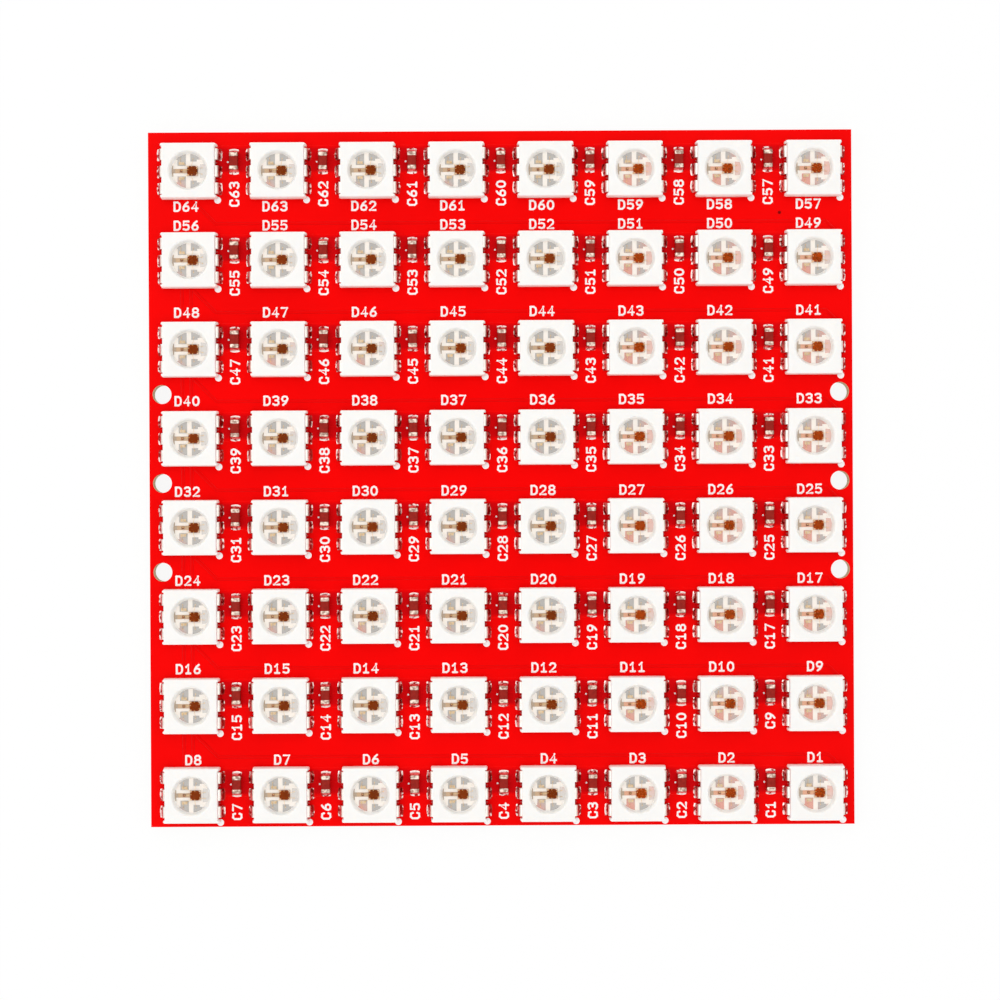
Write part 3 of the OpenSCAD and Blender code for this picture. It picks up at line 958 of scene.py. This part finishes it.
driver_finish = start_finish(
    "driver_silicon", SILICON_ORANGE, SILICON_DARK,
    cloud=0.12 * MM, grain=0.03 * MM, roughness=0.3, bump=0.2,
)
tree = driver_finish.tree
cell = node(tree, "ShaderNodeGroup", node_tree=grid_cell).outputs
dark = weigh(
    tree,
    DARK_START,
    (cell["Across"], DARK_RIGHT),
    (cell["Chance"], DARK_CHANCE),
    (cell["Warm"], DARK_WARM),
)
silicon = blend_colours(tree, dark, driver_finish.tones.outputs["Colour"], SILICON_DARK)
blocks = node(
    tree,
    "ShaderNodeTexBrick",
    {
        "Vector": object_place(tree),
        "Color1": (0, 0, 0, 1),
        "Color2": (0.25, 0.25, 0.25, 1),
        "Mortar": (1, 1, 1, 1),
        "Scale": 1 / CIRCUIT_BLOCK,
        "Mortar Size": 0.02,
    },
)
circuit = blend_colours(tree, blocks.outputs["Color"], silicon, SILICON_LINE)
across = distance(tree, cell["Across"], DRIVER_MIDDLE)
to_corner = math_node(tree, "ADD", across, distance(tree, cell["Up"]))
corner_pad = math_node(tree, "GREATER_THAN", to_corner, DRIVER_PADS_FROM)
feed(driver_finish, "Base Color", blend_colours(tree, corner_pad, circuit, SILICON_PAD))
driver_finish.shader.inputs["Specular IOR Level"].default_value = SILICON_SHINE
paint(driver_finish, "driver_chips")

red_finish = start_finish(
    "red_emitter_die", RED_DIE, RED_DIE_RIM,
    cloud=0.12 * MM, grain=0.03 * MM, roughness=0.35, bump=0.2,
)
paint(red_finish, "red_emitters")
gold_finish = start_finish(
    "green_and_blue_dies", GOLD_DIE, GOLD_DIE_DEEP,
    cloud=0.2 * MM, grain=0.03 * MM, roughness=0.35, bump=0.2,
)
paint(gold_finish, "green_emitters", "blue_emitters")


# Bond wires: gold wire from the driver to the emitters and the pads, welded at both ends.
# Each wire rises in a loop and lands flat.

WIRE_RADIUS = 0.014 * MM
WIRE_RISE = 0.16 * MM
# Points of a wire as shares of its length, and the power that moves its crest towards the start
WIRE_SHARES = (0, 0.08, 0.3, 0.6, 0.88, 1)
WIRE_LEAN = 0.6
BALL_RADIUS = 0.045 * MM
GOLD = (0.95, 0.68, 0.32, 1)
GOLD_DEEP = (0.8, 0.5, 0.18, 1)
DRIVER_TOP = CUP_FLOOR + 0.2 * MM
EMITTER_TOP = CUP_FLOOR + 0.12 * MM

# Both ends of each wire in the LED's own plane, in millimetres, and the heights that they land on
WIRES = (
    ((-0.04, 0.1), DRIVER_TOP, (-0.66, 0.03), EMITTER_TOP),
    ((0.0, 0.34), DRIVER_TOP, (-0.5, 0.66), EMITTER_TOP),
    ((0.0, -0.34), DRIVER_TOP, (-0.5, -0.66), EMITTER_TOP),
    ((-0.76, 0.67), EMITTER_TOP, (-0.72, 1.12), CUP_FLOOR),
    ((-0.76, -0.67), EMITTER_TOP, (-0.72, -1.12), CUP_FLOOR),
    ((0.3, 0.38), DRIVER_TOP, (0.4, 1.1), CUP_FLOOR),
    ((0.3, -0.38), DRIVER_TOP, (0.4, -1.1), CUP_FLOOR),
    ((0.74, 0.2), DRIVER_TOP, (1.2, 0.28), CUP_FLOOR),
    ((0.74, -0.2), DRIVER_TOP, (1.2, -0.28), CUP_FLOOR),
)


def wire_loop(start, start_z, end, end_z):
    """Points of one wire: up steeply from its first weld, then down in a long slope to the second."""
    loop = []
    for share in WIRE_SHARES:
        x = (start[0] + (end[0] - start[0]) * share) * MM
        y = (start[1] + (end[1] - start[1]) * share) * MM
        arch = WIRE_RISE * 4 * share ** WIRE_LEAN * (1 - share ** WIRE_LEAN)
        loop.append((x, y, start_z + (end_z - start_z) * share + arch + WIRE_RADIUS))
    return loop


def make_wire_on_paths():
    """Geometry tree: round wire along every path, with a squeezed ball at both of its welds."""
    tree, start, end = empty_tree(
        "wire_on_paths",
        "GeometryNodeTree",
        {
            "Paths": ("NodeSocketGeometry", None),
            "Radius": ("NodeSocketFloat", WIRE_RADIUS),
            "Ball": ("NodeSocketFloat", BALL_RADIUS),
            "Finish": ("NodeSocketMaterial", None),
        },
        {"Geometry": "NodeSocketGeometry"},
    )
    section = node(
        tree, "GeometryNodeCurvePrimitiveCircle", {"Resolution": 5, "Radius": start.outputs["Radius"]}
    )
    curves = node(tree, "GeometryNodeMeshToCurve", {"Mesh": start.outputs["Paths"]})
    wires = node(
        tree,
        "GeometryNodeCurveToMesh",
        {"Curve": curves.outputs[0], "Profile Curve": section.outputs[0], "Fill Caps": True},
    )
    welds = node(tree, "GeometryNodeCurveEndpointSelection", {"Start Size": 1, "End Size": 1})
    ball = node(
        tree, "GeometryNodeMeshUVSphere", {"Segments": 8, "Rings": 4, "Radius": start.outputs["Ball"]}
    )
    balls = node(
        tree,
        "GeometryNodeInstanceOnPoints",
        {
            "Points": curves.outputs[0],
            "Selection": welds.outputs[0],
            "Instance": ball.outputs["Mesh"],
            "Scale": (1.0, 1.0, 0.5),
        },
    )
    end_painted(tree, start, end, joined(tree, balls.outputs[0], wires.outputs[0]))
    return tree


bond_gold = start_finish(
    "bond_wire_gold", GOLD, GOLD_DEEP,
    cloud=0.3 * MM, grain=0.02 * MM, roughness=0.3, bump=0.1, metallic=1.0,
)
bond_wires = new_piece("bond_wires", as_edges([wire_loop(*wire) for wire in WIRES]))
grow(bond_wires, make_wire_on_paths(), Radius=WIRE_RADIUS, Ball=BALL_RADIUS, Finish=bond_gold.material)
shade_by_angle(bond_wires, degrees=80)
at_leds(bond_wires, bond_gold)
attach(bond_wires, "root")


# Clear resin: silicone poured into each cup over the chips and wires and cured there.
# Its surface hangs a little lower in the middle than at the wall that it wets.

RESIN_TINT = (0.98, 0.97, 0.94, 1)
RESIN_DEEP = (0.96, 0.94, 0.9, 1)
RESIN_CLEAR = 0.004
RESIN_SHEEN = 0.7
RESIN_SHEEN_POWER = 4.0
RESIN_KEY = 0.02 * MM
RESIN_SIDES = 32
# The ring of the cup's wall that the resin reaches up to
RESIN_RING = 4
# Surface of the resin, in millimetres: how far in from the wall, and how far under the edge
RESIN_SURFACE = ((0.05, 0.018), (0.3, 0.035))
RESIN_FLAT_R = 0.7 * MM
RESIN_SAG = 0.045 * MM


def add_resin(bm):
    """Body of revolution that fills the cup and keys a little into its wall and floor."""
    depth, past = CUP_WALL[RESIN_RING]
    edge = HOUSING_TOP - depth * MM
    wall = CUP_RIM_R + past * MM
    profile = [(CUP_FLOOR_R, CUP_FLOOR - PLATE_STEP - RESIN_KEY), (wall + RESIN_KEY, edge)]
    profile += [(wall - inward * MM, edge - sag * MM) for inward, sag in RESIN_SURFACE]
    profile.append((RESIN_FLAT_R, edge - RESIN_SAG))
    add_stack(bm, [circle(radius, level, RESIN_SIDES) for radius, level in profile])


def seen_directly(tree):
    """1 for rays from the camera, a gloss or a clear part, and 0 for the light on the object."""
    rays = node(tree, "ShaderNodeLightPath")
    either = math_node(tree, "MAXIMUM", rays.outputs["Is Camera Ray"], rays.outputs["Is Glossy Ray"])
    return math_node(tree, "MAXIMUM", either, rays.outputs["Is Transmission Ray"])


clear_resin = start_finish(
    "clear_silicone", RESIN_TINT, RESIN_DEEP,
    cloud=1 * MM, grain=0.3 * MM, roughness=0.16, bump=0.05, metallic=1.0,
)
tree = clear_resin.tree
facing = node(tree, "ShaderNodeLayerWeight", {"Blend": 0.5}).outputs["Facing"]
sheen = math_node(tree, "POWER", facing, RESIN_SHEEN_POWER)
sheen = math_node(tree, "MULTIPLY", sheen, seen_directly(tree))
feed(clear_resin, "Alpha", math_node(tree, "MULTIPLY_ADD", sheen, RESIN_SHEEN, RESIN_CLEAR))

fill = bmesh.new()
add_resin(fill)
resin = new_piece("cup_resin", fill)
shade_by_angle(resin, degrees=40)
at_leds(resin, clear_resin)
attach(resin, "root")
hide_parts(*(f"clear_resin_row_{row}" for row in range(1, LED_ROWS + 1)))


# Capacitors: a brown ceramic block between each pair of LEDs, with metal dipped over both ends.
# The block is tumbled before the dip, so every edge is rounded.

CAP_HALF_X = 0.4 * MM
CAP_HALF_Y = 0.8 * MM
CAP_HEIGHT = 0.8 * MM
CAP_BAND = 0.4 * MM
CAP_PLATE = 0.03 * MM
CERAMIC_ROUNDING = 0.06 * MM
TERMINAL_ROUNDING = 0.1 * MM
CERAMIC = (0.32, 0.015, 0.008, 1)
CERAMIC_DEEP = (0.25, 0.011, 0.006, 1)
CERAMIC_SHINE = 0.12
CAP_TIN = (0.76, 0.63, 0.53, 1)
# Painted reflection: dark patches on the bright tin stand in for darker things that the terminals mirror
CAP_TIN_PAINTED_REFLECTION = (0.3, 0.19, 0.15, 1)


def add_block(bm, low, high, radius, segments):
    """Block between two corners with rounded edges."""
    made = bmesh.ops.create_cube(bm, size=1.0)
    for vert in made["verts"]:
        vert.co = [a + (b - a) * (c + 0.5) for a, b, c in zip(low, high, vert.co)]
    edges = list({edge for vert in made["verts"] for edge in vert.link_edges})
    bmesh.ops.bevel(bm, geom=edges, offset=radius, segments=segments, profile=0.5, affect="EDGES")


ceramic = start_finish(
    "brown_ceramic", CERAMIC, CERAMIC_DEEP,
    cloud=0.3 * MM, grain=0.05 * MM, roughness=0.5, bump=0.2,
)
ceramic.shader.inputs["Specular IOR Level"].default_value = CERAMIC_SHINE
block = bmesh.new()
add_block(
    block,
    (-CAP_HALF_X + CAP_PLATE, -CAP_HALF_Y + CAP_PLATE, BOARD_TOP + CAP_PLATE),
    (CAP_HALF_X - CAP_PLATE, CAP_HALF_Y - CAP_PLATE, BOARD_TOP + CAP_HEIGHT - CAP_PLATE),
    CERAMIC_ROUNDING,
    segments=2,
)
capacitor_bodies = new_piece("capacitor_bodies", block)
shade_by_angle(capacitor_bodies, degrees=50)
at_capacitors(capacitor_bodies, ceramic)
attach(capacitor_bodies, "root")
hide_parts(*(f"capacitor_bodies_row_{row}" for row in range(1, LED_ROWS + 1)))

terminal_tin = start_finish(
    "capacitor_terminal_tin", CAP_TIN, CAP_TIN_PAINTED_REFLECTION,
    cloud=0.3 * MM, grain=0.05 * MM, roughness=0.3, bump=0.4, metallic=1.0,
)
# Painted reflection: the terminals' sharp-edged dark patches, for what their metal mirrors
terminal_tin.tones.inputs["Cloud edge"].default_value = 0.2
caps = bmesh.new()
for low_y in (-CAP_HALF_Y, CAP_HALF_Y - CAP_BAND):
    add_block(
        caps,
        (-CAP_HALF_X, low_y, BOARD_TOP),
        (CAP_HALF_X, low_y + CAP_BAND, BOARD_TOP + CAP_HEIGHT),
        TERMINAL_ROUNDING,
        segments=3,
    )
terminals = new_piece("capacitor_terminals", caps)
shade_by_angle(terminals, degrees=50)
at_capacitors(terminals, terminal_tin)
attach(terminals, "root")
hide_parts(*(f"capacitor_terminals_row_{row}" for row in range(1, LED_ROWS + 1)))


# Solder: tin alloy melted in an oven, drawn up each lead and each capacitor end in a hollow fillet.
# It sets bright, with round sides where it stops at the edge of its pad.

LEAD_FACE = 2.65 * MM
LEAD_TOE = 0.3 * MM
LEAD_CLIMB = 0.4 * MM
LEAD_JOINT_HALF = 0.55 * MM
CAP_TOE = 0.36 * MM
CAP_CLIMB = 0.5 * MM
CAP_JOINT_HALF = 0.45 * MM
# Form of a fillet: how much its toe draws in towards the sides, how much it narrows outwards, how far
# its crest drops at the sides, the powers of that drop and of its hollow, how high its toe stands and
# how deep its sole lies in the board
TOE_ROUNDING = 0.22
TOE_NARROWING = 0.06
CREST_DROP = 0.75
CREST_DROP_POWER = 3
FILLET_HOLLOW = 1.9
TOE_HEIGHT = 0.03 * MM
SOLE_DEPTH = 0.01 * MM
FILLET_REACHES = (0.0, 0.15, 0.38, 0.68, 1.0)
FILLET_SPREADS = (-1.0, -0.88, -0.5, 0.0, 0.5, 0.88, 1.0)
SOLDER_BRIGHT = (0.9, 0.8, 0.76, 1)
# Painted reflection: the dark red of the patches where the solder mirrors the board
SOLDER_BOARD_REFLECTION = (0.38, 0.022, 0.018, 1)
# Share of a joint that is bright, and how it falls across the LED for each millimetre, a painted light
# that makes the joints on each LED's left brighter, towards the strongest lamp
LEAD_JOINT_BRIGHT = 0.47
LEAD_JOINT_LIGHT_FALL = -0.012
CAP_JOINT_BRIGHT = 0.56


def add_fillet(bm, wall, toe, climb, half, turn, shift=0):
    """One fillet from a wall outwards, turned about the upright axis and then shifted along Y:
    a hollow top, a flat sole and closed sides."""
    across, ahead = math.cos(turn), math.sin(turn)

    def point(reach, spread, height):
        x = wall + reach * toe * (1 - TOE_ROUNDING * spread * spread)
        y = half * spread * (1 - TOE_NARROWING * reach)
        return bm.verts.new((x * across - y * ahead, x * ahead + y * across + shift, BOARD_TOP + height))

    top, sole = [], []
    for spread in FILLET_SPREADS:
        crest = climb * (1 - CREST_DROP * abs(spread) ** CREST_DROP_POWER)
        heights = [TOE_HEIGHT + crest * (1 - reach) ** FILLET_HOLLOW for reach in FILLET_REACHES]
        top.append([point(reach, spread, height) for reach, height in zip(FILLET_REACHES, heights)])
        sole.append([point(reach, spread, -SOLE_DEPTH) for reach in (0.0, 1.0)])
    for near, far in zip(top, top[1:]):
        for i in range(len(FILLET_REACHES) - 1):
            bm.faces.new((near[i], near[i + 1], far[i + 1], far[i]))
    for near, far, low, high in zip(top, top[1:], sole, sole[1:]):
        bm.faces.new((near[-1], low[1], high[1], far[-1]))
        bm.faces.new((low[0], near[0], far[0], high[0]))
        bm.faces.new((low[1], low[0], high[0], high[1]))
    bm.faces.new([*top[0], sole[0][1], sole[0][0]][::-1])
    bm.faces.new([*top[-1], sole[-1][1], sole[-1][0]])


def make_solder(name, bright):
    """Bright alloy with dark red patches of painted reflection, where it mirrors the board."""
    finish = start_finish(
        name, SOLDER_BRIGHT, SOLDER_BOARD_REFLECTION,
        cloud=0.3 * MM, grain=0.06 * MM, roughness=0.3, bump=0.5, metallic=1.0,
    )
    finish.tones.inputs["Cloud level"].default_value = bright
    finish.tones.inputs["Cloud edge"].default_value = 0.08
    return finish


lead_joint = make_solder("lead_joint_solder", LEAD_JOINT_BRIGHT)
tree = lead_joint.tree
cell = node(tree, "ShaderNodeGroup", node_tree=grid_cell).outputs
# Painted light: the joints' bright share grows towards each LED's left, where the strongest lamp stands
bright = math_node(tree, "MULTIPLY_ADD", cell["Across"], LEAD_JOINT_LIGHT_FALL, LEAD_JOINT_BRIGHT)
tree.links.new(bright, lead_joint.tones.inputs["Cloud level"])
capacitor_joint = make_solder("capacitor_joint_solder", CAP_JOINT_BRIGHT)

lead_fillets = bmesh.new()
for turn in (0, math.pi):
    for shift in (-LEAD_PITCH, 0, LEAD_PITCH):
        add_fillet(lead_fillets, LEAD_FACE, LEAD_TOE, LEAD_CLIMB, LEAD_JOINT_HALF, turn, shift)
bmesh.ops.recalc_face_normals(lead_fillets, faces=lead_fillets.faces)
lead_solder = new_piece("lead_solder", lead_fillets)
shade_by_angle(lead_solder, degrees=50)
at_leds(lead_solder, lead_joint)

end_fillets = bmesh.new()
for turn in (math.pi / 2, -math.pi / 2):
    add_fillet(end_fillets, CAP_HALF_Y, CAP_TOE, CAP_CLIMB, CAP_JOINT_HALF, turn)
bmesh.ops.recalc_face_normals(end_fillets, faces=end_fillets.faces)
capacitor_solder = new_piece("capacitor_solder", end_fillets)
shade_by_angle(capacitor_solder, degrees=50)
at_capacitors(capacitor_solder, capacitor_joint)

for piece in (lead_solder, capacitor_solder):
    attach(piece, "root")
    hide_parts(*(f"solder_joints_row_{row}" for row in range(1, LED_ROWS + 1)))


# Studio: a white table under the board, a bright even room and soft lamps on four sides.
# The table looks white to the camera and still takes the board's soft shadow.

TABLE_HALF = 3.0
TABLE_WHITE = (0.93, 0.93, 0.93, 1)
TABLE_GLOW = 0.88
ROOM_LIGHT = 0.76

corners = [(x * TABLE_HALF, y * TABLE_HALF, 0) for x, y in ((-1, -1), (1, -1), (1, 1), (-1, 1))]
table = new_piece("studio_table", (corners, [], [(0, 1, 2, 3)]))
table_finish = bpy.data.materials.new("studio_table_white")
table_finish.use_nodes = True
tree = table_finish.node_tree
tree.nodes.remove(tree.nodes["Principled BSDF"])
matte = node(tree, "ShaderNodeBsdfDiffuse", {"Color": TABLE_WHITE})
glow = node(tree, "ShaderNodeEmission", {"Color": (1, 1, 1, 1), "Strength": 1.0})
share = math_node(tree, "MULTIPLY", seen_directly(tree), TABLE_GLOW)
mixed = node(tree, "ShaderNodeMixShader", {0: share, 1: matte.outputs[0], 2: glow.outputs[0]})
tree.links.new(mixed.outputs[0], tree.nodes["Material Output"].inputs["Surface"])
table.data.materials.append(table_finish)

room = bpy.data.worlds.new("studio_room")
room.use_nodes = True
tree = room.node_tree
background = tree.nodes["Background"]
background.inputs["Color"].default_value = (1, 1, 1, 1)
strength = math_node(tree, "MULTIPLY_ADD", seen_directly(tree), 1 - ROOM_LIGHT, ROOM_LIGHT)
tree.links.new(strength, background.inputs["Strength"])
bpy.context.scene.world = room

# Lamps: name, place, side and power, each turned to the middle of the board
for name, place, side, power in (
    ("lamp_left", (-0.26, 0.05, 0.38), 0.3, 0.34),
    ("lamp_right", (0.22, -0.04, 0.4), 0.3, 0.18),
    ("lamp_top", (0.02, 0.25, 0.4), 0.3, 0.22),
    ("lamp_bottom", (-0.03, -0.23, 0.4), 0.3, 0.19),
):
    lamp = bpy.data.lights.new(name, "AREA")
    lamp.shape = "SQUARE"
    lamp.size = side
    lamp.energy = power
    stand = bpy.data.objects.new(name, lamp)
    stand.location = place
    stand.rotation_euler = (-Vector(place)).to_track_quat("-Z", "Y").to_euler()
    bpy.context.scene.collection.objects.link(stand)


# Camera: straight above the board, as far off as the photograph's perspective gives,
# and turned by the same fraction of a degree.

CAMERA_ABOVE = 235 * MM
CAMERA_PLACE = Vector((-0.12, -1.96, 0)) * MM
CAMERA_TURN = math.radians(-0.28)
CAMERA_LENS = 94.0
CAMERA_SENSOR = 36.0
NEAREST_SEEN = 10 * MM
FURTHEST_SEEN = 10.0

lens = bpy.data.cameras.new("camera")
lens.lens = CAMERA_LENS
lens.sensor_width = CAMERA_SENSOR
lens.clip_start = NEAREST_SEEN
lens.clip_end = FURTHEST_SEEN
camera = bpy.data.objects.new("camera", lens)
camera.location = CAMERA_PLACE + Vector((0, 0, BOARD_TOP + CAMERA_ABOVE))
camera.rotation_euler = (0, 0, CAMERA_TURN)
bpy.context.scene.collection.objects.link(camera)
bpy.context.scene.camera = camera
bpy.context.scene.view_settings.view_transform = "Standard"
